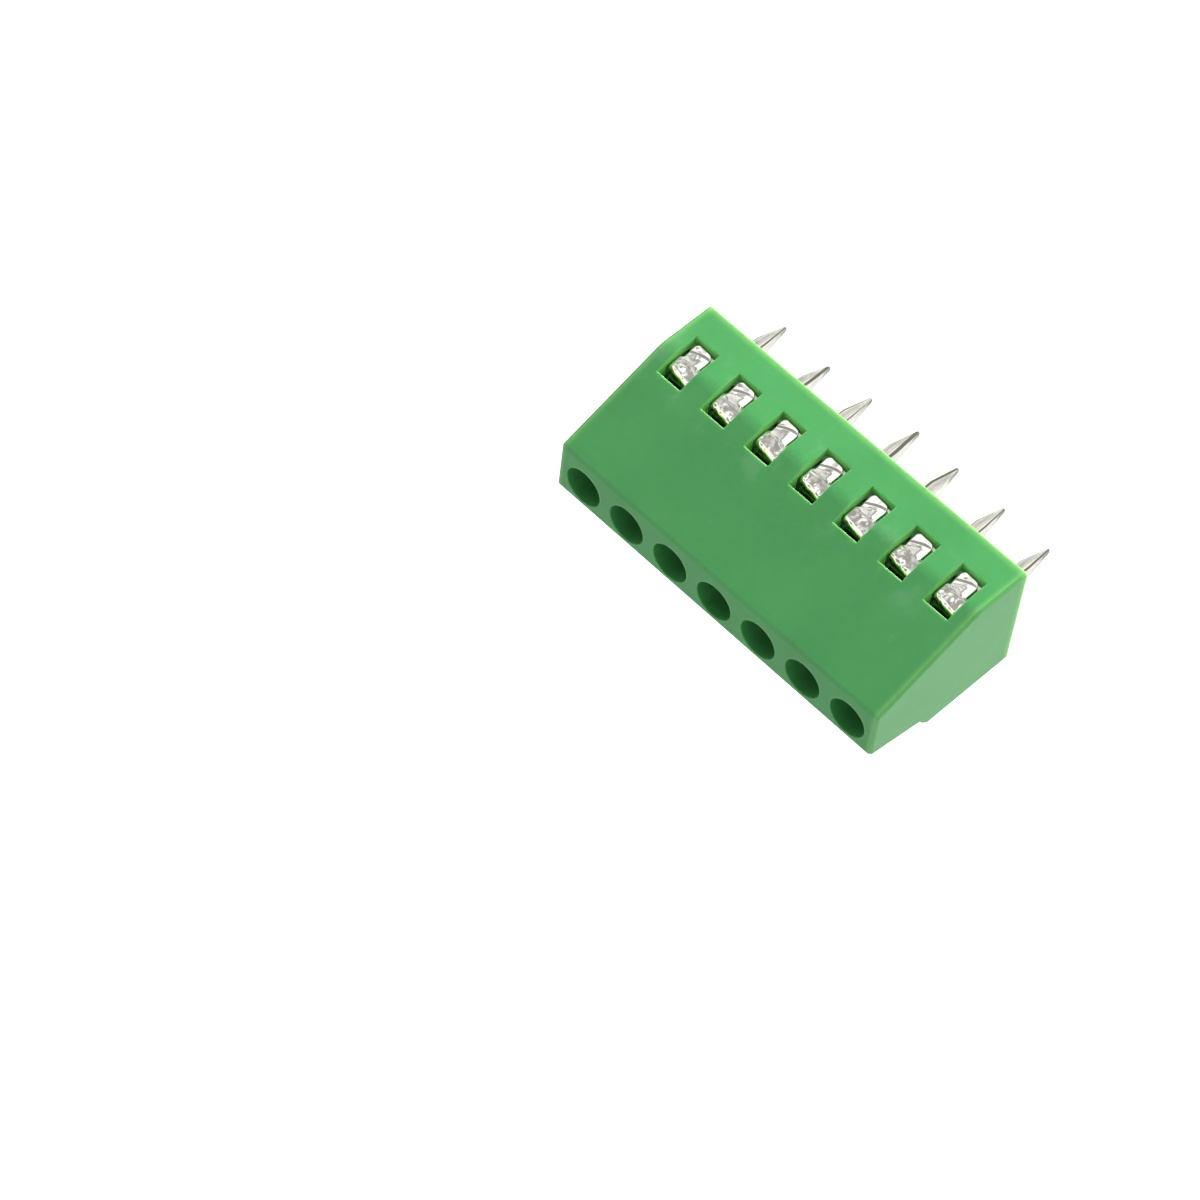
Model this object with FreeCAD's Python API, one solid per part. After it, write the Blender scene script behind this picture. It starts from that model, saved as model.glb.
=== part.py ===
import FreeCAD, Part
import math
import os
from FreeCAD import Vector

# Small-pitch screw terminal connector with a row of poles, for soldering to a board.
# Each pole has a folded contact with a two-ply solder pin, a sprung wire guard that hangs
# in the wire window, and a slotted clamp screw in its own shaft.
# Millimetres. The origin is on the board face, under the middle of the row, on the pin line.
# X runs along the row, Z points away from the board, and wires enter from the -Y side.

# The row
poles = 7
pitch = 2.54
chamber_width = 2.10
end_wall = 0.42
length = (poles - 1) * pitch + chamber_width + 2 * end_wall

# Moulded block, end profile
front_y = -3.10
back_y = 3.10
height = 8.50
kink_z = 2.90
top_front_y = -1.00
top_back_y = 1.80
step_low_z = 4.95
step_rise = 0.40
step_depth = 0.60
kink_radius = 1.50
edge_chamfer = 0.13

# Chambers, open towards the board
front_wall = 0.55
chamber_front_y = front_y + front_wall
chamber_back_y = 1.75
lead_front_wall = 0.26
lead_front_height = 1.20
lead_back_depth = 0.50
lead_corner_x = 0.30
lead_corner_y = 0.45

# Guide posts on the ribs between the chambers
post_radius = 0.36
post_y = -1.70
post_height = 1.50

# Wire windows in the front wall
window_width = 1.36
window_sill_z = 1.60
window_top_z = 3.88
window_pocket_y = -1.80

# Recesses and square holes in the back
recess_width = 1.97
recess_low_z = 0.605
recess_high_z = 4.45
recess_depth = 0.85
back_hole_width = 1.24
back_hole_low_z = 1.43
back_hole_high_z = 3.17

# Screw shafts
screw_y = 0.55

# Folded contact
sheet = 0.25
contact_side_gap = 0.07
contact_half = chamber_width / 2 - contact_side_gap
contact_front_y = -1.20
contact_back_gap = 0.15
contact_back_y = chamber_back_y - contact_back_gap
shoulder_z = 0.70
contact_top_z = 3.00
bottom_bend = 0.45
top_bend = 0.30
seam_half = 0.005

# Solder pin, the two ends of the folded strip laid together
pin_width = 0.80
pin_length = 3.50
pin_taper_start = 2.00
pin_tip_width = 0.28
pin_tip_ply = 0.04
pin_tip_chamfer = 0.06
pin_root_radius = 0.15
pin_root_drop = 0.08

# How far each pin tip leans from its true place, pole by pole from -X
tip_lean_x = [-0.06, -0.03, 0.09, -0.15, 0.00, -0.12, -0.04]
tip_lean_y = [0.14, -0.05, -0.11, -0.32, 0.08, 0.30, 0.13]

# Sprung wire guard
guard_sheet = 0.22
guard_side_gap = 0.06
guard_shoulder = 0.11
guard_neck_z = 2.62
guard_taper_z = 2.46
guard_end_gap = 0.04
guard_corner = 0.22
guard_face_gap = 0.10
guard_set_back = 0.27
guard_bend = 0.15
guard_lean = 0.09
guard_crease_radius = 0.20
guard_dish = 0.05
guard_dish_z = 2.10
guard_dish_radius = 0.60
guard_flare = 0.05

# Slotted screw
thread_radius = 0.70
thread_clearance = 0.02
head_radius = 0.875
head_clearance = 0.10
head_height = 0.65
head_depth = 1.60
head_chamfer = 0.08
point_inset = 0.03
slot_width = 0.32
slot_depth = 0.32
slot_angles = [20.0, 75.0, 130.0, 48.0, 160.0, 8.0, 102.0]

# How far cutting shapes run past the faces they cut, and how near counts as touching
overrun = 1.0
overlap = 0.20
touching = 1e-6


def pole_x(index):
    """Centre of a pole along the row."""
    return (index - (poles - 1) / 2) * pitch


def on_plane(plane, a, b):
    """A flat point (a, b) placed on the named coordinate plane."""
    if plane == "yz":
        return Vector(0, a, b)
    if plane == "xz":
        return Vector(a, 0, b)
    return Vector(a, b, 0)


def outline(plane, corners):
    """A face through corners given as (a, b, radius), each corner turned by its own arc."""
    count = len(corners)
    joints = []
    for i in range(count):
        a, b, radius = corners[i]
        here = on_plane(plane, a, b)
        before = on_plane(plane, *corners[i - 1][:2]) - here
        after = on_plane(plane, *corners[(i + 1) % count][:2]) - here
        before.normalize()
        after.normalize()
        if radius <= 0:
            joints.append((here, None, here))
            continue
        half = before.getAngle(after) / 2
        reach = radius / math.tan(half)
        middle = before + after
        middle.normalize()
        bulge = here + middle * (radius / math.sin(half) - radius)
        joints.append((here + before * reach, bulge, here + after * reach))
    edges = []
    for i in range(count):
        start, bulge, end = joints[i]
        if bulge is not None:
            edges.append(Part.Arc(start, bulge, end).toShape())
        following = joints[(i + 1) % count][0]
        if end.distanceToPoint(following) > touching:
            edges.append(Part.LineSegment(end, following).toShape())
    return Part.Face(Part.Wire(edges))


def prism(plane, corners, low, high):
    """An outline drawn out across its plane, from low to high."""
    face = outline(plane, corners)
    step = {"yz": Vector(1, 0, 0), "xz": Vector(0, 1, 0), "xy": Vector(0, 0, 1)}[plane]
    face.translate(step * low)
    return face.extrude(step * (high - low))


def box(x_low, x_high, y_low, y_high, z_low, z_high):
    """A box between two corners."""
    return Part.makeBox(x_high - x_low, y_high - y_low, z_high - z_low, Vector(x_low, y_low, z_low))


def is_outer_corner(edge):
    """True for the edges of both ends, and for the long corners of the top and the step."""
    middle = edge.CenterOfMass
    on_an_end = edge.BoundBox.XLength < touching and middle.z > touching
    at_top = abs(middle.z - height) < touching
    at_step = abs(middle.z - step_low_z) < touching
    return on_an_end or at_top or at_step


def block_body():
    """The moulded block before its openings, with soft outer edges."""
    corners = [
        (front_y, 0, 0),
        (front_y, kink_z, kink_radius),
        (top_front_y, height, 0),
        (top_back_y, height, 0),
        (back_y - step_depth, step_low_z + step_rise, 0),
        (back_y, step_low_z, 0),
        (back_y, 0, 0),
    ]
    body = prism("yz", corners, -length / 2, length / 2)
    return body.makeChamfer(edge_chamfer, [edge for edge in body.Edges if is_outer_corner(edge)])


def chamber(x):
    """The space for one contact, with a lead-in at its mouth for assembly from below."""
    ceiling = contact_top_z + guard_sheet + guard_face_gap
    lead_back_y = back_y - recess_depth
    below = -overrun
    side = [
        (front_y + lead_front_wall, below, 0),
        (front_y + lead_front_wall, 0, 0),
        (chamber_front_y, lead_front_height, 0),
        (chamber_front_y, ceiling, 0),
        (chamber_back_y, ceiling, 0),
        (chamber_back_y, lead_back_depth, 0),
        (lead_back_y, 0, 0),
        (lead_back_y, below, 0),
    ]
    half = chamber_width / 2
    plan = [
        (x - half, front_y, 0),
        (x - half, lead_back_y - lead_corner_y, 0),
        (x - half + lead_corner_x, lead_back_y, 0),
        (x + half - lead_corner_x, lead_back_y, 0),
        (x + half, lead_back_y - lead_corner_y, 0),
        (x + half, front_y, 0),
    ]
    tall = prism("xy", plan, below, ceiling)
    return prism("yz", side, x - half, x + half).common(tall)


def window(x):
    """The wire window through the front wall, with its pocket over the chamber."""
    half = window_width / 2
    return box(x - half, x + half, front_y - overrun, window_pocket_y, window_sill_z, window_top_z)


def back_openings(x):
    """The moulded recess in the back and the square hole in its floor."""
    floor_y = back_y - recess_depth
    half = recess_width / 2
    recess = box(x - half, x + half, floor_y, back_y + overrun, recess_low_z, recess_high_z)
    half = back_hole_width / 2
    hole_front_y = chamber_back_y - overlap
    hole_back_y = floor_y + overlap
    hole = box(x - half, x + half, hole_front_y, hole_back_y, back_hole_low_z, back_hole_high_z)
    return [recess, hole]


def screw_shaft(x):
    """The round shaft from the top face down to the chamber."""
    low = contact_top_z + guard_sheet
    shaft_radius = head_radius + head_clearance
    return Part.makeCylinder(shaft_radius, height + overrun - low, Vector(x, screw_y, low))


def housing():
    """The one-piece moulded block."""
    body = block_body()
    cuts = []
    for index in range(poles):
        x = pole_x(index)
        cuts += [chamber(x), window(x), screw_shaft(x)] + back_openings(x)
    moulded = body.cut(cuts)
    posts = []
    for index in range(poles + 1):
        x = pole_x(index) - pitch / 2
        posts.append(Part.makeCylinder(post_radius, post_height, Vector(x, post_y, 0)))
    clipped = [post.common(body) for post in posts]
    return moulded.fuse(clipped).removeSplitter()


def screw_hole():
    """The hole for the screw through the contact's top plate and the guard on it."""
    low = contact_top_z - overrun
    return Part.makeCylinder(thread_radius + thread_clearance, 2 * overrun, Vector(0, screw_y, low))


def contact(lean_x, lean_y):
    """Strip folded to a ring under the screw, its two ends laid together as the solder pin."""
    def across(x, z):
        return x + lean_x * max(0, shoulder_z - z) / (shoulder_z + pin_length)

    def along(y, z):
        return y + lean_y * max(0, shoulder_z - z) / (shoulder_z + pin_length)

    half = contact_half
    ply = seam_half + sheet
    tip = seam_half + pin_tip_ply
    inner_z = shoulder_z + sheet
    taper_z = -pin_taper_start
    end_z = -pin_length
    fold = [
        (across(-tip, end_z), end_z, 0),
        (across(-ply, taper_z), taper_z, 0),
        (-ply, shoulder_z, pin_root_radius),
        (-half, shoulder_z, bottom_bend),
        (-half, contact_top_z, top_bend),
        (half, contact_top_z, top_bend),
        (half, shoulder_z, bottom_bend),
        (ply, shoulder_z, pin_root_radius),
        (across(ply, taper_z), taper_z, 0),
        (across(tip, end_z), end_z, 0),
        (across(seam_half, end_z), end_z, 0),
        (seam_half, inner_z, 0),
        (half - sheet, inner_z, 0),
        (half - sheet, contact_top_z - sheet, 0),
        (-half + sheet, contact_top_z - sheet, 0),
        (-half + sheet, inner_z, 0),
        (-seam_half, inner_z, 0),
        (across(-seam_half, end_z), end_z, 0),
    ]
    strip = prism("xz", fold, contact_front_y, contact_back_y)
    root_z = shoulder_z - pin_root_drop
    wide = pin_width / 2
    narrow = pin_tip_width / 2
    blunt = narrow - pin_tip_chamfer
    blunt_z = end_z + pin_tip_chamfer
    blank = [
        (contact_front_y - overrun, contact_top_z + overrun, 0),
        (contact_front_y - overrun, root_z, 0),
        (along(-wide, root_z), root_z, 0),
        (along(-wide, taper_z), taper_z, 0),
        (along(-narrow, blunt_z), blunt_z, 0),
        (along(-blunt, end_z), end_z, 0),
        (along(blunt, end_z), end_z, 0),
        (along(narrow, blunt_z), blunt_z, 0),
        (along(wide, taper_z), taper_z, 0),
        (along(wide, root_z), root_z, 0),
        (contact_back_y + overrun, root_z, 0),
        (contact_back_y + overrun, contact_top_z + overrun, 0),
    ]
    shaped = strip.common(prism("yz", blank, -half - overrun, half + overrun))
    return shaped.cut(screw_hole())


def strip_corners(path, thickness):
    """Corners of a bent strip of even thickness, from the line of its left face.

    The path holds (a, b, radius), the radius on the inner side of each bend."""
    left = []
    right = []
    for i in range(len(path)):
        a, b, radius = path[i]
        here = Vector(a, b, 0)
        ways = []
        if i > 0:
            ways.append(here - Vector(path[i - 1][0], path[i - 1][1], 0))
        if i < len(path) - 1:
            ways.append(Vector(path[i + 1][0], path[i + 1][1], 0) - here)
        sides = []
        for way in ways:
            way.normalize()
            sides.append(Vector(way.y, -way.x, 0))
        across = sides[0] + sides[-1]
        across.normalize()
        far = here + across * (thickness / across.dot(sides[0]))
        outer_radius = radius + thickness if radius > 0 else 0
        if ways[0].cross(ways[-1]).z > 0:
            left.append((here.x, here.y, radius))
            right.append((far.x, far.y, outer_radius))
        else:
            left.append((here.x, here.y, outer_radius))
            right.append((far.x, far.y, radius))
    return left + right[::-1]


def guard():
    """Thin sprung strip: a plate over the contact, and a dished tongue that hangs in the window."""
    low = contact_top_z
    end_z = window_sill_z + guard_end_gap
    leaf_y = front_y + guard_set_back + guard_sheet
    path = [
        (contact_back_y, low, 0),
        (leaf_y + guard_lean, low, guard_bend),
        (leaf_y, guard_neck_z, guard_crease_radius),
        (leaf_y + guard_dish, guard_dish_z, guard_dish_radius),
        (leaf_y - guard_flare, end_z, 0),
    ]
    half = contact_half
    bent = prism("yz", strip_corners(path, guard_sheet), -half, half)
    neck = window_width / 2 - guard_side_gap
    tongue = neck - guard_shoulder
    shape = [
        (-neck, low + overrun, 0),
        (-neck, guard_neck_z, 0),
        (-tongue, guard_taper_z, 0),
        (-tongue, end_z - touching, guard_corner),
        (tongue, end_z - touching, guard_corner),
        (tongue, guard_taper_z, 0),
        (neck, guard_neck_z, 0),
        (neck, low + overrun, 0),
    ]
    hanging = prism("xz", shape, front_y - overrun, contact_front_y + overlap)
    plate = box(-half, half, contact_front_y, contact_back_y, low - overlap, low + overrun)
    formed = bent.common(hanging.fuse(plate))
    return formed.cut(screw_hole())


def screw(angle):
    """Slotted screw with a close-fitting head, its point just inside the contact's top plate."""
    low = contact_top_z - sheet + point_inset
    head_top_z = height - head_depth
    under_head = head_top_z - head_height
    half_profile = [
        (0, low, 0),
        (thread_radius, low, 0),
        (thread_radius, under_head, 0),
        (head_radius, under_head, 0),
        (head_radius, head_top_z - head_chamfer, 0),
        (head_radius - head_chamfer, head_top_z, 0),
        (0, head_top_z, 0),
    ]
    turned = outline("xz", half_profile).revolve(Vector(0, 0, 0), Vector(0, 0, 1), 360)
    across = head_radius + overrun
    slot = box(-across, across, -slot_width / 2, slot_width / 2, head_top_z - slot_depth, head_top_z + overrun)
    slot.rotate(Vector(0, 0, 0), Vector(0, 0, 1), angle)
    body = turned.cut(slot)
    body.translate(Vector(0, screw_y, 0))
    return body


def write(shape, name):
    """Save one piece, after a look at its validity and volume."""
    solid = shape.Solids[0] if len(shape.Solids) == 1 else shape
    print(name, len(shape.Solids), shape.isValid(), round(shape.Volume, 3))
    solid.exportStep("parts/" + name + ".step")


os.makedirs("parts", exist_ok=True)
write(housing(), "housing")
guard_shape = guard()
for index in range(poles):
    number = str(index + 1)
    place = Vector(pole_x(index), 0, 0)
    lean = index % len(tip_lean_x)
    contact_shape = contact(tip_lean_x[lean], tip_lean_y[lean])
    contact_shape.translate(place)
    write(contact_shape, "contact_" + number)
    copy = guard_shape.copy()
    copy.translate(place)
    write(copy, "wire_guard_" + number)
    screw_shape = screw(slot_angles[index % len(slot_angles)])
    screw_shape.translate(place)
    write(screw_shape, "clamp_screw_" + number)
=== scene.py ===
# %% [markdown]
# # A screw terminal connector, dressed in Blender
# The solid model comes in as a fixed frame, in metres. Its origin is on the board face, X runs
# along the row of poles, Z points away from the board and the wires enter from the -Y side.
# Everything below gives it its finish: green moulded plastic, tinned contacts, bright spring
# sheet in the wire windows and plated clamp screws. Sizes are written in millimetres, and times
# MM they are the metres that Blender works in.

# %% Load the solid model
import math
import bmesh
import bpy
import numpy as np
from mathutils import Matrix, Vector


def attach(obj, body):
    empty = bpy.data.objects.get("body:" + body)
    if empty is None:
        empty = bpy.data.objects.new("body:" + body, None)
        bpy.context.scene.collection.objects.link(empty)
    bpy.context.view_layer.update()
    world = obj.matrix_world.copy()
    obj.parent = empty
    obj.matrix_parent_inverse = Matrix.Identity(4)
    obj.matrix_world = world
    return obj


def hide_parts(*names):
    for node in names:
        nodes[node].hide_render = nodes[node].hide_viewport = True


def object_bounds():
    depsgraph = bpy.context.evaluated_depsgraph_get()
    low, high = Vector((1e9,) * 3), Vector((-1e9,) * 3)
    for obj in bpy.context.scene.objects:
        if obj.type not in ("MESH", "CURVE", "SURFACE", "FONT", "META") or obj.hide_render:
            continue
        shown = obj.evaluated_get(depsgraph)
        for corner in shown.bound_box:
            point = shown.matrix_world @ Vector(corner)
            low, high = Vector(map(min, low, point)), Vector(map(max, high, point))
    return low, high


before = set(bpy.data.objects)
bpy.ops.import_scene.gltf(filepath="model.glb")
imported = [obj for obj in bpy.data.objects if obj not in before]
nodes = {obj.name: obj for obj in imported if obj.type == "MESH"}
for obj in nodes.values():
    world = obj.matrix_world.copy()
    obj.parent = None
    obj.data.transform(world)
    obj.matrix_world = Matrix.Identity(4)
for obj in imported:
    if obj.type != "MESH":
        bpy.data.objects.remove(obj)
cad_low, cad_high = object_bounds()
MM = 0.001
POLES = sum(1 for name in nodes if name.startswith("contact_"))
PITCH = 2.54
HALF_LENGTH = cad_high.x / MM
SCREW_Y = 0.55
print("nodes:", len(nodes), "poles:", POLES)

# %% [markdown]
# ## Camera
# The photograph was taken from well above the front, with a long lens and the camera rolled, so
# that the row runs down to the right. The same place, aim and roll are given here as real sizes.

# %% Camera
AZIMUTH = math.radians(-23.146)
ELEVATION = math.radians(25.952)
ROLL = math.radians(-127.928)
DISTANCE = 217.69 * MM
AIM = Vector((4.442, 3.571, 10.334)) * MM
LENS = 157.085
SENSOR_WIDTH = 36.0

back = Vector((
    math.sin(AZIMUTH) * math.cos(ELEVATION),
    -math.cos(AZIMUTH) * math.cos(ELEVATION),
    math.sin(ELEVATION),
))
level = (-back).to_track_quat("-Z", "Y").to_matrix()
roll = Matrix.Rotation(ROLL, 3, "Z")
camera_data = bpy.data.cameras.new("camera")
camera_data.lens = LENS
camera_data.sensor_width = SENSOR_WIDTH
camera_data.clip_start = 10 * MM
camera_data.clip_end = 2000 * MM
camera = bpy.data.objects.new("camera", camera_data)
camera.matrix_world = Matrix.Translation(AIM + back * DISTANCE) @ (level @ roll).to_4x4()
bpy.context.scene.collection.objects.link(camera)
bpy.context.scene.camera = camera
print("camera at", [round(v / MM, 1) for v in camera.location], "mm")

# %% [markdown]
# ## Shader maths
# A material is easier to read as arithmetic than as a web of nodes. One small class wraps a
# socket, so that `a * b + c` adds the Math nodes by itself. A second holds a node tree and adds
# any other node from its type, its settings and its sockets. A third is a finish: a material
# whose colour is laid on in coats, each one where its mask says.

# %% A small class for shader expressions
class Value:
    """One output socket of a node tree, with the arithmetic that the finishes use."""

    def __init__(self, graph, socket):
        self.graph = graph
        self.socket = socket

    def math(self, operation, *others):
        """A Math node with this value first and the others after it."""
        sockets = dict(enumerate((self, *others)))
        return self.graph.node("ShaderNodeMath", {"operation": operation}, sockets)

    def __add__(self, other):
        return self.math("ADD", other)

    __radd__ = __add__

    def __sub__(self, other):
        return self.math("SUBTRACT", other)

    def __rsub__(self, other):
        return self.graph.node("ShaderNodeMath", {"operation": "SUBTRACT"}, {0: other, 1: self})

    def __mul__(self, other):
        return self.math("MULTIPLY", other)

    __rmul__ = __mul__

    def __truediv__(self, other):
        return self.math("DIVIDE", other)

    def __pow__(self, other):
        return self.math("POWER", other)

    def __abs__(self):
        return self.math("ABSOLUTE")

    def wrapped(self, half):
        """The value brought into -half to half by taking off whole steps of twice half."""
        return self.math("WRAP", half, -half)

    def smooth(self, low, high):
        """0 below low, 1 above high, and a soft step between."""
        settings = {"interpolation_type": "SMOOTHSTEP"}
        sockets = {0: self, 1: low, 2: high, 3: 0.0, 4: 1.0}
        return self.graph.node("ShaderNodeMapRange", settings, sockets)

    def fade(self, low, high):
        """1 below low, 0 above high, and a soft step between."""
        return 1.0 - self.smooth(low, high)


print("shader expressions ready")


# %% A node tree
class Graph:
    """A node tree with one method that adds any node."""

    def __init__(self, tree):
        self.tree = tree

    def node(self, kind, settings=None, sockets=None, output=0):
        """Adds a node: its settings first, then the values or links of its sockets."""
        made = self.tree.nodes.new(kind)
        for key, setting in (settings or {}).items():
            setattr(made, key, setting)
        for key, value in (sockets or {}).items():
            if isinstance(value, Value):
                self.tree.links.new(value.socket, made.inputs[key])
            else:
                made.inputs[key].default_value = value
        return Value(self, made.outputs[output])

    def parts(self, vector):
        """The three numbers of a vector."""
        made = self.node("ShaderNodeSeparateXYZ", None, {0: vector})
        outputs = made.socket.node.outputs
        return [Value(self, outputs[i]) for i in range(3)]

    def along(self, direction, other):
        """How well two directions agree: 1 the same way, 0 square on, -1 opposite."""
        settings = {"operation": "DOT_PRODUCT"}
        return self.node("ShaderNodeVectorMath", settings, {0: direction, 1: other}, output=1)

    def mix(self, factor, first, second):
        """A colour between first and second, each one a link or three numbers."""
        first, second = (c if isinstance(c, Value) else (*c, 1.0) for c in (first, second))
        sockets = {0: factor, 6: first, 7: second}
        return self.node("ShaderNodeMix", {"data_type": "RGBA"}, sockets, output=2)


print("node trees ready")


# %% A finish
class Finish(Graph):
    """A new material with its Principled shader."""

    def __init__(self, name, color, **constants):
        self.material = bpy.data.materials.new(name)
        self.material.use_nodes = True
        super().__init__(self.material.node_tree)
        self.shader = self.tree.nodes["Principled BSDF"]
        self.shader.inputs["Base Color"].default_value = (*color, 1.0)
        for socket, value in constants.items():
            self.shader.inputs[socket.replace("_", " ")].default_value = value
        self.position = self.node("ShaderNodeTexCoord", output="Object")
        self.facing = self.node("ShaderNodeTexCoord", output="Normal")
        self.color = color

    def millimetres(self):
        """The place on the object as three numbers in mm."""
        return [axis / MM for axis in self.parts(self.position)]

    def noise(self, scale, detail=3.0, roughness=0.5, stretch=(1.0, 1.0, 1.0)):
        """Noise with its scale in features per metre, stretched along the object's axes."""
        place = self.node("ShaderNodeMapping", None, {"Vector": self.position, "Scale": stretch})
        sockets = {"Vector": place, "Scale": scale, "Detail": detail, "Roughness": roughness}
        return self.node("ShaderNodeTexNoise", None, sockets)

    def soft_normal(self, radius):
        """The surface normal with its sharp edges rounded, radius in metres."""
        return self.node("ShaderNodeBevel", {"samples": 4}, {"Radius": radius})

    def edge(self, rounded):
        """How much a rounded normal differs from the flat face's own, 0 on flat places."""
        return 1.0 - self.along(rounded, self.node("ShaderNodeNewGeometry", output="True Normal"))

    def relief(self, height, distance, normal=None):
        """Bumps of a real height in metres, over another normal where one is given."""
        sockets = {"Height": height, "Distance": distance}
        if normal is not None:
            sockets["Normal"] = normal
        return self.node("ShaderNodeBump", None, sockets)

    def paint(self, mask, color):
        """Lays a colour over the coats so far, as thickly as the mask says."""
        self.color = self.mix(mask, self.color, color)

    def feed(self, socket, value):
        """Links a value to a socket of the shader."""
        self.tree.links.new(value.socket, self.shader.inputs[socket])

    def give(self, *names):
        """Puts this finish on the named pieces of the solid model."""
        for name in names:
            for slot in nodes[name].material_slots:
                slot.material = self.material


print("finishes ready")

# %% [markdown]
# ## Green moulded plastic
# The block is moulded nylon, dyed right through. Light sinks a few tenths of a millimetre into
# it, which the shader's subsurface part gives. Its faces aren't quite flat or even: the tool
# leaves a fine grain, slight waves and faint rub marks. The Bevel node rounds the edges for the
# light alone, so the solid stays as it is. The same rounding also marks a painted highlight: the
# edges are painted a lighter green.

# %% The body colour of the plastic
plastic = Finish(
    "green_plastic", (0.03, 0.2, 0.05), IOR=1.5, Specular_IOR_Level=0.36,
    Subsurface_Weight=0.5, Subsurface_Scale=0.45 * MM, Subsurface_Radius=(0.7, 1.0, 0.4),
)
DEEP_GREEN = (0.028, 0.172, 0.043)
BODY_GREEN = (0.034, 0.198, 0.051)
SPECKLE_GREEN = (0.046, 0.232, 0.067)
RUBBED_GREEN = (0.09, 0.31, 0.12)
EDGE_HIGHLIGHT_GREEN = (0.16, 0.48, 0.13)
EDGE_RADIUS = 0.11

rounded = plastic.soft_normal(EDGE_RADIUS * MM)
edge = plastic.edge(rounded).smooth(0.01, 0.20)
cloud = plastic.noise(260, detail=2.0).smooth(0.3, 0.7)
mottle = plastic.noise(2600, detail=4.0, roughness=0.65)
rubs = plastic.noise(900, detail=5.0, roughness=0.7, stretch=(1.0, 1.0, 0.25))
rubs = rubs.smooth(0.62, 0.74)
plastic.color = plastic.mix(cloud, DEEP_GREEN, BODY_GREEN)
plastic.paint((mottle - 0.5) * 0.5 + 0.25, SPECKLE_GREEN)
plastic.paint(rubs * 0.25, RUBBED_GREEN)
# Painted highlight: the rounded edges are painted a lighter green.
plastic.paint(edge * 0.25, EDGE_HIGHLIGHT_GREEN)
print("body colour:", len(plastic.tree.nodes), "nodes")

# %% [markdown]
# Where the plastic is thin, as along the foot and the two ends, light comes through it, so a
# painted glow makes it lighter and a little yellower than the broad faces. The masks are soft
# steps of the height over the board and of the distance from the middle of the row.

# %% Painted glow at the thin places of the plastic
THIN_GLOW_GREEN = (0.19, 0.40, 0.11)
FOOT_TOP = 0.42
END_DEPTH = 0.40

x, y, z = plastic.millimetres()
facing_x, facing_y, _ = (abs(axis) for axis in plastic.parts(plastic.facing))
foot = z.fade(-0.02, FOOT_TOP)
ends = abs(x).smooth(HALF_LENGTH - END_DEPTH, HALF_LENGTH - 0.02) * (1.0 - facing_x * 0.9)
# Painted glow: the foot and the ends are painted lighter and yellower.
plastic.paint((foot * 0.46 + ends * 0.45) * (0.7 + mottle * 0.6), THIN_GLOW_GREEN)
print("thin places: foot up to", FOOT_TOP, "mm, ends", END_DEPTH, "mm deep")

# %% [markdown]
# The walls of the wire windows get a painted glow, because they are thin and lit from both sides.
# The screw shafts are the opposite: little light gets down there, so painted shade makes them look
# deeper and cooler. The front and back carry pale handling marks across the middle of their
# height.

# %% Painted window glow, painted shaft shade and handling marks
WINDOW_GLOW_GREEN = (0.11, 0.38, 0.075)
MARK_GREEN = (0.14, 0.28, 0.16)
SHAFT_SHADE_GREEN = (0.008, 0.10, 0.012)
WINDOW_HALF = 0.70
WINDOW_TOP = 4.0
WINDOW_DEPTH = -1.7
SHAFT_RADIUS = 0.99
SHAFT_FLOOR = 3.4

in_pole = abs(x.wrapped(PITCH / 2))
window = in_pole.fade(WINDOW_HALF - 0.01, WINDOW_HALF + 0.01) * facing_y.fade(0.5, 0.8)
window = window * z.fade(WINDOW_TOP - 0.1, WINDOW_TOP) * y.fade(WINDOW_DEPTH - 0.2, WINDOW_DEPTH)
# Painted glow on the window walls.
plastic.paint(window * 0.85, WINDOW_GLOW_GREEN)
marks = plastic.noise(700, detail=3.0, roughness=0.6, stretch=(1.0, 1.0, 0.7))
marks = marks.smooth(0.52, 0.68) * z.smooth(1.0, 2.0) * z.fade(4.2, 5.2)
plastic.paint(marks * facing_y.smooth(0.8, 0.9) * 0.22, MARK_GREEN)
from_axis = (in_pole * in_pole + (y - SCREW_Y) * (y - SCREW_Y)) ** 0.5
flat_wall = facing_y.smooth(0.5, 0.8) * facing_x.smooth(0.5, 0.8)
shaft_shade = from_axis.fade(SHAFT_RADIUS - 0.03, SHAFT_RADIUS) * (1.0 - flat_wall)
shaft_shade = shaft_shade * z.smooth(SHAFT_FLOOR, SHAFT_FLOOR + 0.1) * (1.0 - z.smooth(7.9, 8.4) * 0.6)
# Painted shade down the screw shafts.
plastic.paint(shaft_shade * 0.45, SHAFT_SHADE_GREEN)
print("windows up to", WINDOW_TOP, "mm, shafts from", SHAFT_FLOOR, "mm over the board")

# %% Gloss and grain of the plastic
plastic.feed("Base Color", plastic.color)
plastic.feed("Roughness", 0.36 + mottle * 0.12 + rubs * 0.10 + window * 0.3)
grain = plastic.relief(plastic.noise(14000, detail=2.0), 0.0012 * MM, rounded)
waves = plastic.relief(plastic.noise(420, detail=2.0), 0.012 * MM, grain)
plastic.feed("Normal", waves)
plastic.give("housing")
print("plastic:", len(plastic.tree.nodes), "nodes")

# %% [markdown]
# ## Tinned contacts
# The contacts are folded from brass strip and tinned, so they are bright with a soft, slightly
# cloudy gloss. The cut edges of the strip are duller and warmer than its faces.

# %% The tin's own colour
tin = Finish(
    "tin_plate", (0.82, 0.81, 0.77),
    Metallic=1.0, Roughness=0.24, Specular_Tint=(0.86, 0.85, 0.82, 1.0),
)
BRIGHT_TIN = (0.84, 0.83, 0.79)
CLOUDED_TIN = (0.70, 0.69, 0.65)
CUT_TIN = (0.60, 0.58, 0.49)

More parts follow.
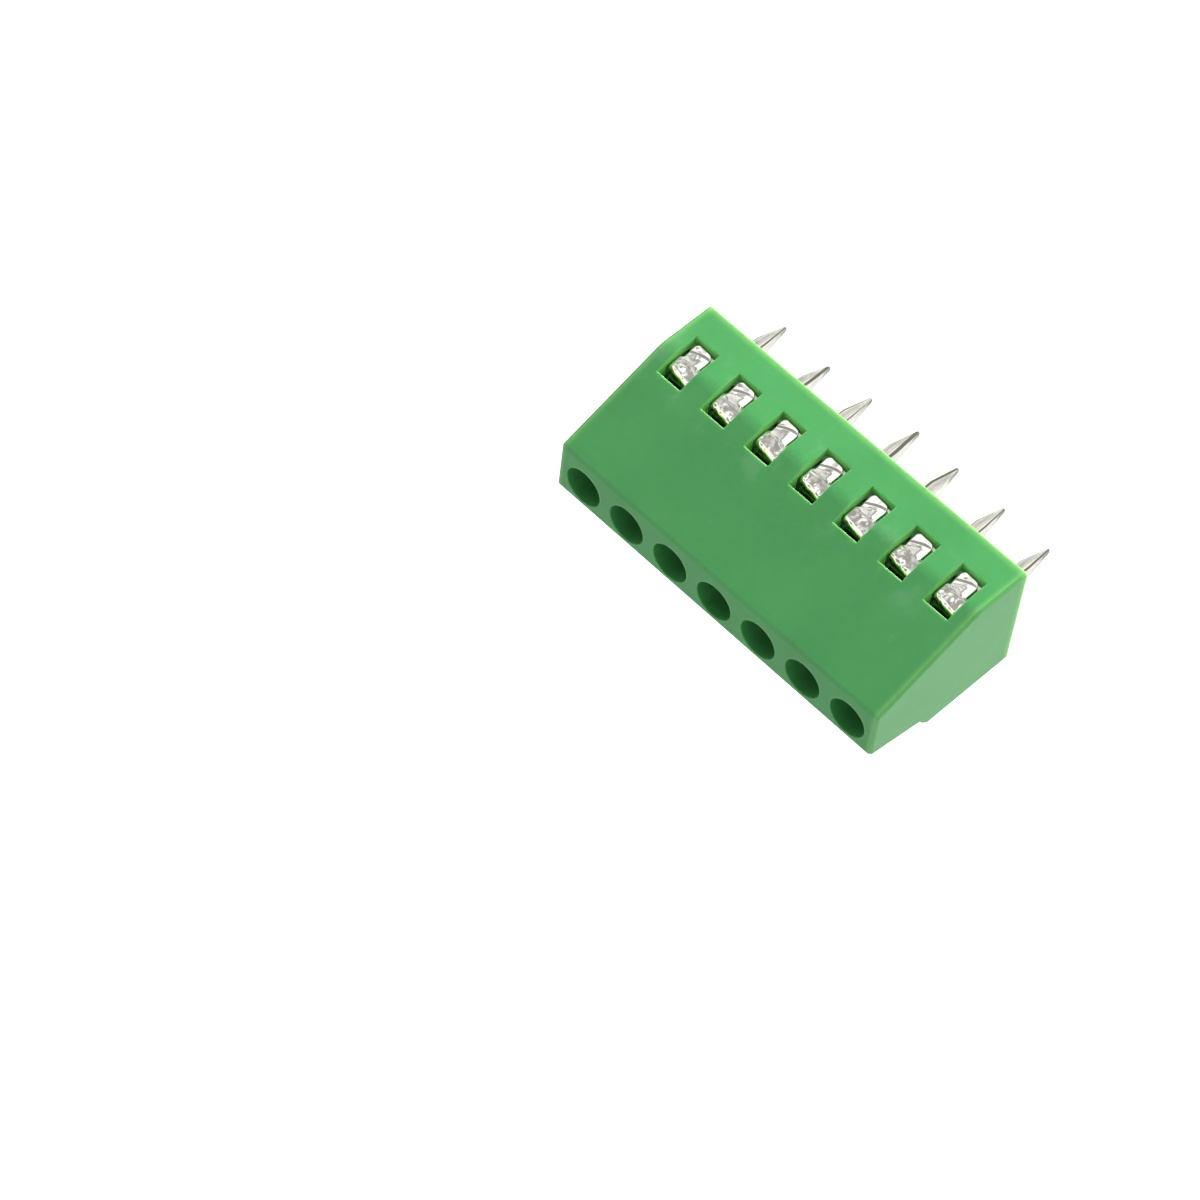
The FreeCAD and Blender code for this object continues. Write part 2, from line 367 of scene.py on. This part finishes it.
facing_x, facing_y, _ = (abs(axis) for axis in tin.parts(tin.facing))
cut_edge = facing_y.smooth(0.75, 0.95)
clouding = tin.noise(1800, detail=4.0, roughness=0.6)
tin.color = tin.mix(clouding.smooth(0.35, 0.75), BRIGHT_TIN, CLOUDED_TIN)
tin.paint(cut_edge * 0.5, CUT_TIN)
print("tin colour:", len(tin.tree.nodes), "nodes")

# %% [markdown]
# The pins stand in white light and mirror it, so what draws them are painted dark reflections:
# dark rims and a dark line down the face. Streaky darker patches lie towards the root, and the
# face is gently crowned. All of it is worked out from the place across the pin, counted from its
# middle in half thicknesses, which shrink in the taper.

# %% Painted dark reflections on the pins
RIM_REFLECTION_TIN = (0.12, 0.115, 0.08)
REFLECTED_LINE_AND_PATCH_TIN = (0.14, 0.135, 0.115)
HALF_PIN = 0.255
TAPER_TOP = -2.0
TAPER_LENGTH = 1.5
TAPER_LOSS = 0.21

x, _, z = tin.millimetres()
from_middle = x.wrapped(PITCH / 2)
half_pin = HALF_PIN - TAPER_LOSS * (TAPER_TOP - z).math("MAXIMUM", 0.0) / TAPER_LENGTH
outward = from_middle / half_pin
below_board = z.fade(-0.15, -0.05)
rim_reflection = abs(outward).smooth(0.70, 0.84) * (1.0 - facing_x.smooth(0.5, 0.7) * 0.8)
reflected_line = abs(outward + 0.42).fade(0.05, 0.14)
streak = tin.noise(1300, detail=3.0, roughness=0.6, stretch=(1.0, 1.0, 0.35))
root_patch = (outward + 0.35).smooth(0.0, 0.10) * outward.fade(0.55, 0.70)
root_patch = root_patch * z.smooth(-2.3, -0.6) * streak.smooth(0.40, 0.60)
# Painted reflection: the rims and the line are painted dark, and the patches by the root are
# painted darker.
tin.paint(rim_reflection * 0.95 * below_board, RIM_REFLECTION_TIN)
tin.paint((reflected_line * 0.25 + root_patch * 0.90) * below_board, REFLECTED_LINE_AND_PATCH_TIN)
print("pins:", 2 * HALF_PIN, "mm thick, tapering below", TAPER_TOP, "mm")

# %% Gloss and shape of the tin
tin.feed("Base Color", tin.color)
tin.feed("Roughness", 0.16 + clouding * 0.16 + cut_edge * 0.10)
rolled = tin.noise(9000, detail=3.0, stretch=(1.0, 1.0, 0.06))
rolled = tin.relief(rolled, 0.0016 * MM, tin.soft_normal(0.05 * MM))
lumps = tin.relief(tin.noise(3200, detail=2.0), 0.018 * MM, rolled)
towards_tip = (-2.5 - z).math("MAXIMUM", 0.0)
towards_root = (z + 0.9).math("MAXIMUM", 0.0)
crown = (from_middle - 0.06) ** 2.0 * -0.8
crown = crown - towards_tip * towards_tip * 0.14 + towards_root * towards_root * 0.16
tin.feed("Normal", tin.relief(crown, 1.0 * MM, lumps))
tin.give(*(f"contact_{number + 1}" for number in range(POLES)))
print("tin:", len(tin.tree.nodes), "nodes")

# %% [markdown]
# ## Plated clamp screws
# Each screw is turned from rod, so its head carries fine rings round its own axis. The rings
# are a wave of the distance from the axis, and as all the axes stand one pitch apart, one
# wrapped coordinate serves all seven. Below the head the solid is a plain cylinder, and its
# thread is a wave too, of the height over the thread's pitch plus the angle round the axis.

# %% Plated clamp screws
plated = Finish("plated_screw", (0.62, 0.61, 0.58), Metallic=1.0, Roughness=0.3)
BRIGHT_PLATE = (0.66, 0.65, 0.62)
STAINED_PLATE = (0.50, 0.50, 0.48)
RING_STEP = 0.045
THREAD_PITCH = 0.30
THREAD_DEPTH = 0.07
SHANK_TOP = 6.2
TURN = 2 * math.pi

x, y, z = plated.millimetres()
across = x.wrapped(PITCH / 2)
along = y - SCREW_Y
radius = (across * across + along * along) ** 0.5
rings = (radius * (TURN / RING_STEP)).math("SINE")
stain = plated.noise(1500, detail=4.0, roughness=0.6)
plated.feed("Base Color", plated.mix(stain.smooth(0.35, 0.7), BRIGHT_PLATE, STAINED_PLATE))
plated.feed("Roughness", 0.22 + stain * 0.18)
turned = plated.relief(rings * 0.5 + stain, 0.002 * MM, plated.soft_normal(0.04 * MM))
turns = along.math("ARCTAN2", across) / TURN + z / THREAD_PITCH
thread = (turns * TURN).math("SINE") * z.fade(SHANK_TOP, SHANK_TOP + 0.05)
plated.feed("Normal", plated.relief(thread, THREAD_DEPTH * MM, turned))
plated.give(*(f"clamp_screw_{number + 1}" for number in range(POLES)))
print("screws:", len(plated.tree.nodes), "nodes")

# %% [markdown]
# ## Wire guards
# Each guard is a stamped spring strip: a plate under the screw, a bend, and a tongue that hangs
# in the wire window. On the real ones the tongue is formed and no two are quite alike. A solid
# model keeps this plain, so here the strip is worked out again as a surface. Its middle line is
# a heading carried along the strip's length: level, up a short rise, over the bend and down.

# %% The sizes of a guard
TOP_Z = 3.11
BACK_Y = 1.60
SHEET = 0.22
RISE_Y = -1.95
RISE = math.radians(15.0)
BEND = 0.18
LEAF_Y = -2.66
LEAN = math.radians(6.0)
CREASE_Z = 2.66
END_Z = 1.645
PLATE_HALF = 0.98
NECK_HALF = 0.62
TONGUE_HALF = 0.475
TONGUE_SHIFT = 0.025
SHOULDER_Y = -1.20
HOLE_RADIUS = 0.72
CORNER = 0.26
NOSE = 0.045
PAST_HOLE = 2.0
PAST_PLATE = 3.5
LONGEST = 7.0


def softstep(x, low, high):
    """0 below low, 1 above high, by the cubic 3t^2 - 2t^3 between."""
    t = np.clip((x - low) / (high - low), 0.0, 1.0)
    return t * t * (3.0 - 2.0 * t)


def hump(x, centre, width):
    """A bell of height 1 at centre: e to the power of minus the squared distance in widths."""
    return np.exp(-(((x - centre) / width) ** 2))


print("sheet", SHEET, "mm thick, plate", 2 * PLATE_HALF, "mm wide")


# %% The line of a guard
def guard_heading(s):
    """Heading at length s, downward positive: 0, then -RISE, then an even turn over the bend.

    The turn ends LEAN short of straight down, and the crease adds the LEAN that is missing.
    """
    down = math.pi / 2 - LEAN
    rise_s = BACK_Y - RISE_Y
    bend_y = LEAF_Y + BEND * (math.sin(down) + math.sin(RISE))
    bend_s = rise_s + (RISE_Y - bend_y) / math.cos(RISE)
    bend_z = TOP_Z + (bend_s - rise_s) * math.sin(RISE)
    bend_z = bend_z - BEND * (math.cos(RISE) - math.cos(down))
    leaf_s = bend_s + BEND * (RISE + down)
    crease_s = leaf_s + (bend_z - CREASE_Z) / math.sin(down)
    heading = -RISE * softstep(s, rise_s - 0.1, rise_s + 0.1)
    heading = heading + np.clip((s - bend_s) / (leaf_s - bend_s), 0.0, 1.0) * (RISE + down)
    return heading + LEAN * softstep(s, crease_s - 0.05, crease_s + 0.05)


def guard_line(s):
    """Middle line: running sums of the heading's cosine along -Y and of its sine along -Z."""
    fine = np.linspace(0.0, LONGEST, 7001)
    heading = guard_heading(fine)
    step = fine[1]
    y = BACK_Y - np.concatenate([[0.0], np.cumsum(np.cos(heading[:-1]) * step)])
    z = TOP_Z - np.concatenate([[0.0], np.cumsum(np.sin(heading[:-1]) * step)])
    return np.interp(s, fine, y), np.interp(s, fine, z), np.interp(s, fine, heading)


def guard_length():
    """Length at which the middle line reaches the tongue's end."""
    fine = np.linspace(3.0, LONGEST, 4001)
    return float(np.interp(-END_Z, -guard_line(fine)[1], fine))


print("guard strip is", round(guard_length(), 2), "mm long")


# %% The rows and the width of a guard
def guard_stations():
    """Lengths along the strip for every row: close where it bends, and round the screw hole."""
    plate = np.concatenate([
        BACK_Y - NOSE * (1 - np.cos(np.linspace(0, math.pi / 2, 5))),
        np.linspace(BACK_Y - NOSE, SCREW_Y + HOLE_RADIUS, 4)[1:-1],
        SCREW_Y + HOLE_RADIUS * np.cos(np.linspace(0.0, math.pi, 25)),
        np.linspace(SCREW_Y - HOLE_RADIUS, SHOULDER_Y + 0.03, 8)[1:],
        np.linspace(SHOULDER_Y - 0.03, LEAF_Y + 0.5, 12),
    ])
    plate_s = BACK_Y - plate
    last = guard_length()
    hanging = np.linspace(plate_s[-1], last - NOSE, 130)[1:]
    tip = last - NOSE * (1 - np.sin(np.linspace(0, math.pi / 2, 6)))[1:]
    return np.concatenate([plate_s, hanging, tip])


def guard_half_width(s, y, z):
    """Half the plate's width, less soft steps to the neck and tongue and a round corner."""
    neck = softstep(-y, -SHOULDER_Y - 0.04, -SHOULDER_Y + 0.04)
    tongue = softstep(-z, -2.62, -2.46) * (s > PAST_PLATE)
    width = PLATE_HALF + (NECK_HALF - PLATE_HALF) * neck + (TONGUE_HALF - NECK_HALF) * tongue
    into = np.clip((s - (guard_length() - CORNER)) / CORNER, 0.0, 1.0)
    return width - CORNER * (1.0 - np.sqrt(1.0 - into ** 2 + 1e-9))


print("rows along the strip:", len(guard_stations()))

# %% [markdown]
# The relief is one function of the place on the strip. The tongue ends in a slanting ledge, so
# the ledge is a step of the length less a share of the sideways place. A crease crosses the
# neck, one side is rolled in, and the bend is crumpled. All of it moves the strip along its own
# normal. The bend also stands up, more on the -X side, which is a shift along Z. Seeded random
# numbers change each of these from pole to pole and add the small dents of handling.

# %% The relief of a guard
LIFT = 0.14
LIFT_SLANT = 0.16
LIFT_SEED = 100
BELLS = 40


def dented(random, x, below, reach, lengths, widths, depth):
    """A sum of round bells, each at a random place, of random width and depth."""
    total = 0.0
    for _ in range(BELLS):
        at_x, at_s = random.uniform(-reach, reach), random.uniform(*lengths)
        width, height = random.uniform(*widths), random.normal(0.0, depth(at_x))
        total = total + height * hump(x, at_x, width) * hump(below, at_s, width)
    return total


def guard_ledge(random, x, from_end):
    """The tongue's foot: a slope out below the fold, a small step in, and a slope above it."""
    fold_at = 0.25 + random.uniform(-0.04, 0.04)
    fold_slant = 0.42 + random.uniform(-0.08, 0.08)
    above_fold = from_end - fold_at - fold_slant * x - 0.25 * x * x
    lip = 0.20 * np.maximum(-above_fold, 0.0) - 0.050 * np.clip(above_fold / 0.11, 0.0, 1.0)
    return lip - 0.18 * np.clip(above_fold - 0.05, 0.0, 0.22)


def guard_crease(random, x, below):
    """A wavy ridge across the neck with a step in below it, deeper in some places."""
    at = 0.10 * x + random.uniform(-0.05, 0.05)
    at = at + 0.05 * np.sin(random.uniform(0.0, 6.0) + 6.0 * x)
    depth = random.uniform(0.4, 1.1)
    depth = depth * (0.6 + 0.4 * np.sin(random.uniform(0.0, 6.0) + 4.0 * x))
    return depth * (0.012 * hump(below, at, 0.045) - 0.018 * softstep(below, at + 0.03, at + 0.10))


def guard_relief(x, s, crease_s, last, seed):
    """Shift along the normal in mm, outward positive: ledge, rolled side, crease and dents."""
    random = np.random.default_rng(seed)
    below = s - crease_s
    ledge = guard_ledge(random, x, last - s)
    rolled_side = -0.085 * softstep(-x, 0.06, 0.60) ** 1.2 * softstep(below, -0.05, 0.2)
    crease = guard_crease(random, x, below)
    dents = dented(random, x, below, 0.6, (-1.1, 0.9), (0.05, 0.15), lambda at_x: 0.006)
    crumple = dented(
        random, x, below, 0.65, (-1.2, -0.25), (0.07, 0.14),
        lambda at_x: 0.017 - 0.012 * max(at_x, 0.0),
    )
    total = ledge + rolled_side + crease + dents + np.clip(crumple, -0.02, 0.08)
    return total * softstep(below, -1.4, -1.2)


def guard_lift(x, heading, z, seed):
    """Shift along Z in mm: grows along the rise, is fullest at the bend and ends at the crease."""
    random = np.random.default_rng(LIFT_SEED + seed)
    growing = softstep(z, TOP_Z, TOP_Z + 0.12)
    ending = softstep(z, CREASE_Z + 0.05, TOP_Z + 0.15)
    full = LIFT + random.uniform(-0.05, 0.05) - LIFT_SLANT * x
    return np.where(heading > 0.3, ending, growing) * full


print("the bend stands up by", LIFT, "mm in its middle and more on the -X side")

# %% [markdown]
# The strip has a thickness, so each row of the surface is a loop: over the top from the middle
# line to the edge, round the edge, and back along the bottom. The two halves meet on the middle
# line, where their rows fall on the same points, so merging the doubles closes the surface. The
# screw hole is where the rows start further out, and its wall joins the top to the bottom.

# %% The surface of a guard
FLAT, ROUND = 20, 9
EDGE_ROUND = 0.05


def guard_section(s, y, z):
    """One half's rows, from the hole out, round the edge by a half circle and back.

    The sideways place is inner + (outer - inner) * across + edge_round * sine of the angle, and
    the height over the middle line is half the thickness times the angle's cosine.
    """
    half = guard_half_width(s, y, z)
    reach = np.clip(1.0 - ((y - SCREW_Y) / HOLE_RADIUS) ** 2, 0.0, 1.0)
    inner = np.where(s < PAST_HOLE, HOLE_RADIUS * np.sqrt(reach), 0.0)
    end = np.minimum(np.clip(s / NOSE, 0, 1), np.clip((s[-1] - s) / NOSE, 0, 1))
    thick = SHEET / 2 * np.sqrt(1.0 - (1.0 - end) ** 2)
    across = np.concatenate([
        np.linspace(0, 1, FLAT), np.ones(ROUND - 2), np.linspace(1, 0, FLAT),
    ])
    angle = np.concatenate([
        np.zeros(FLAT), np.linspace(0, math.pi, ROUND)[1:-1], np.full(FLAT, math.pi),
    ])
    edge_round = np.minimum(EDGE_ROUND, thick)[:, None]
    outer = half[:, None] - edge_round
    x = inner[:, None] + (outer - inner[:, None]) * across[None, :]
    x = x + edge_round * np.sin(angle)[None, :]
    return x, thick[:, None] * np.cos(angle)[None, :], inner


def guard_faces(rows, columns, inner):
    """Quads between neighbouring rows and columns, and the wall of the hole."""
    j, i = np.meshgrid(np.arange(rows - 1), np.arange(columns - 1), indexing="ij")
    corner = (j * columns + i).ravel()
    quads = np.stack([corner, corner + 1, corner + columns + 1, corner + columns], axis=1)
    j = np.arange(rows - 1)[(inner[:-1] > 1e-6) | (inner[1:] > 1e-6)]
    top, bottom = j * columns, j * columns + columns - 1
    hole = np.stack([top, top + columns, bottom + columns, bottom], axis=1)
    right = np.concatenate([quads, hole])
    left = right[:, ::-1] + rows * columns
    return np.concatenate([right, left])


def guard_surface(centre_x, seed):
    """Middle line + x sideways + height and relief along the normal + lift along Z."""
    s = guard_stations()
    y, z, heading = guard_line(s)
    x, height, inner = guard_section(s, y, z)
    hanging = s > PAST_PLATE
    crease_s = float(np.interp(-CREASE_Z, -z[hanging], s[hanging]))
    aside = (TONGUE_SHIFT * softstep(-z, -CREASE_Z, -2.46) * hanging)[:, None]
    s, y, z, heading = (column[:, None] for column in (s, y, z, heading))
    points = []
    for side in (1.0, -1.0):
        shift = height + guard_relief(side * x, s + 0 * x, crease_s, s[-1, 0], seed)
        place_y = y - shift * np.sin(heading)
        place_z = z + shift * np.cos(heading) + guard_lift(side * x, heading, z, seed)
        place = np.stack([centre_x + side * x + aside, place_y, place_z], axis=-1)
        points.append(place.reshape(-1, 3))
    return np.concatenate(points) * MM, guard_faces(*x.shape, inner)


print("points in a guard:", len(guard_surface(0.0, 1)[0]))

# %% [markdown]
# The sheet is drawn and polished, so its mirror is broken only by a haze, fine lines along the
# drawing and soft dents. On top of the bend the tin is rubbed off and the brass shows through.

# %% Spring sheet
spring = Finish("spring_sheet", (0.86, 0.85, 0.82), Metallic=1.0, Roughness=0.2)
BRIGHT_SHEET = (0.90, 0.89, 0.86)
HAZY_SHEET = (0.78, 0.77, 0.72)
BARE_BRASS = (0.86, 0.62, 0.28)

haze = spring.noise(2400, detail=4.0, roughness=0.6)
upward = spring.parts(spring.facing)[2].smooth(0.45, 0.8)
worn = upward * spring.noise(1500, detail=3.0).smooth(0.35, 0.6)
spring.color = spring.mix(haze.smooth(0.35, 0.75), BRIGHT_SHEET, HAZY_SHEET)
spring.paint(worn * 0.8, BARE_BRASS)
spring.feed("Base Color", spring.color)
spring.feed("Roughness", 0.08 + haze * 0.12)
drawn = spring.noise(16000, detail=2.0, stretch=(1.0, 0.1, 0.1))
drawn = spring.relief(drawn, 0.0006 * MM)
spring.feed("Normal", spring.relief(spring.noise(2600, detail=1.0), 0.0060 * MM, drawn))
print("spring sheet:", len(spring.tree.nodes), "nodes")

# %% [markdown]
# Each surface becomes a mesh. Its doubles are merged at a hundred-thousandth of a millimetre,
# which is far less than the crumpled bend's narrowest gap, and then its normals are made to
# agree. The number of open edges is printed and has to be 0.

# %% Make the guards
DOUBLES = 0.00001 * MM
FORM_SEED = 60


def surface_object(name, points, faces, material):
    """A mesh object at the origin from arrays of points and quads, doubles merged."""
    mesh = bpy.data.meshes.new(name)
    mesh.from_pydata(points.tolist(), [], faces.tolist())
    shape = bmesh.new()
    shape.from_mesh(mesh)
    bmesh.ops.remove_doubles(shape, verts=shape.verts, dist=DOUBLES)
    bmesh.ops.dissolve_degenerate(shape, edges=shape.edges, dist=DOUBLES)
    bmesh.ops.recalc_face_normals(shape, faces=shape.faces)
    open_edges = sum(1 for line in shape.edges if not line.is_manifold)
    shape.to_mesh(mesh)
    shape.free()
    mesh.shade_smooth()
    mesh.materials.append(material)
    made = bpy.data.objects.new(name, mesh)
    bpy.context.scene.collection.objects.link(made)
    return made, open_edges


for index in range(POLES):
    number = index + 1
    centre = (index - (POLES - 1) / 2) * PITCH
    points, faces = guard_surface(centre, FORM_SEED + number)
    guard, open_edges = surface_object(f"formed_guard_{number}", points, faces, spring.material)
    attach(guard, "block")
    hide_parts(f"wire_guard_{number}")
    print(guard.name, len(guard.data.polygons), "faces", open_edges, "open edges")

# %% [markdown]
# ## Floor
# The object lies in white surroundings in the photograph. The floor is pale, gives off an even
# light of its own, throws no shadow and isn't mirrored in the metal.

# %% Floor
REACH = 1000 * MM
floor_z = cad_low.z - 0.02 * MM
corners = [(x * REACH, y * REACH, floor_z) for x, y in ((-1, -1), (1, -1), (1, 1), (-1, 1))]
floor_mesh = bpy.data.meshes.new("floor")
floor_mesh.from_pydata(corners, [], [(0, 1, 2, 3)])
paper = Finish(
    "pale_floor", (0.9, 0.9, 0.9),
    Roughness=0.9, Emission_Color=(1, 1, 1, 1), Emission_Strength=0.75,
)
floor_mesh.materials.append(paper.material)
floor = bpy.data.objects.new("floor", floor_mesh)
bpy.context.scene.collection.objects.link(floor)
floor.visible_glossy = False
floor.visible_shadow = False
print("floor at", round(floor_z / MM, 2), "mm")

# %% [markdown]
# ## Light
# The photograph is lit softly from all sides on white. The world is white too, with a few grey
# cards in it, as a photographer sets them up round bright metal. One low in front is mirrored by
# the flat tongues and the pins, one above the front by the folds, and narrow ones at the sides
# and behind by rounded edges. A soft lamp below the board side brightens the low front and makes
# the thin rim glow.

# %% Cards in the white world
WHITE = (1.0, 1.0, 1.0)
STREAK_GREYS = (0.24, 0.24, 0.22), (0.84, 0.84, 0.81)
LOW_GREY = (0.15, 0.15, 0.14)
SIDE_GREY = (0.07, 0.07, 0.05)
ROUND_CARDS = (  # the way to the card's middle, how near to it the card fades in, its grey
    ((0.35344, 0.82679, 0.43762), (0.70, 0.90), (0.60, 0.60, 0.62)),
    ((0.0, -0.848, 0.530), (0.86, 0.93), (0.24, 0.24, 0.22)),
    ((0.35344, 0.82679, -0.43762), (0.86, 0.93), (0.16, 0.16, 0.11)),
)
DEGREES = 180 / math.pi
STRENGTH = 1.42

world = bpy.data.worlds.new("studio")
world.use_nodes = True
sky = Graph(world.node_tree)
direction = sky.node("ShaderNodeTexCoord", output="Generated")
dx, dy, dz = sky.parts(direction)
rise = dz.math("ARCSINE") * DEGREES
swing = dx.math("ARCTAN2", dy * -1.0) * DEGREES

sockets = {"Vector": direction, "Scale": 5.0, "Detail": 1.0, "Roughness": 0.5}
streaks = sky.node("ShaderNodeTexNoise", None, sockets)
card = sky.mix(streaks.smooth(0.40, 0.60), *STREAK_GREYS)
card = sky.mix(rise.fade(-50.0, -32.0), card, LOW_GREY)
low_front = rise.smooth(-62.0, -54.0) * rise.fade(-8.0, 0.0)
low_front = low_front * swing.smooth(4.0, 10.0) * swing.fade(36.0, 44.0)
light = sky.mix(low_front, WHITE, card)
for middle, nearness, grey in ROUND_CARDS:
    light = sky.mix(sky.along(direction, middle).smooth(*nearness), light, grey)
sides = swing.smooth(-84.0, -76.0) * swing.fade(-56.0, -48.0)
sides = sides + swing.smooth(84.0, 92.0) * swing.fade(124.0, 132.0)
light = sky.mix(rise.smooth(-60.0, -50.0) * rise.fade(-5.0, 5.0) * sides, light, SIDE_GREY)
backdrop = world.node_tree.nodes["Background"]
world.node_tree.links.new(light.socket, backdrop.inputs["Color"])
backdrop.inputs["Strength"].default_value = STRENGTH
bpy.context.scene.world = world
print("world:", len(world.node_tree.nodes), "nodes")

# %% Lamp
toward = Vector((0.05, -0.45, -0.89)).normalized()
key_data = bpy.data.lights.new("key", "AREA")
key_data.shape = "DISK"
key_data.size = 60 * MM
key_data.energy = 0.33
key = bpy.data.objects.new("key", key_data)
key.location = toward * 110 * MM
key.rotation_euler = toward.to_track_quat("Z", "Y").to_euler()
key.visible_glossy = False
bpy.context.scene.collection.objects.link(key)
bpy.context.scene.view_settings.view_transform = "Standard"
print("lamp at", [round(v / MM) for v in key.location], "mm")
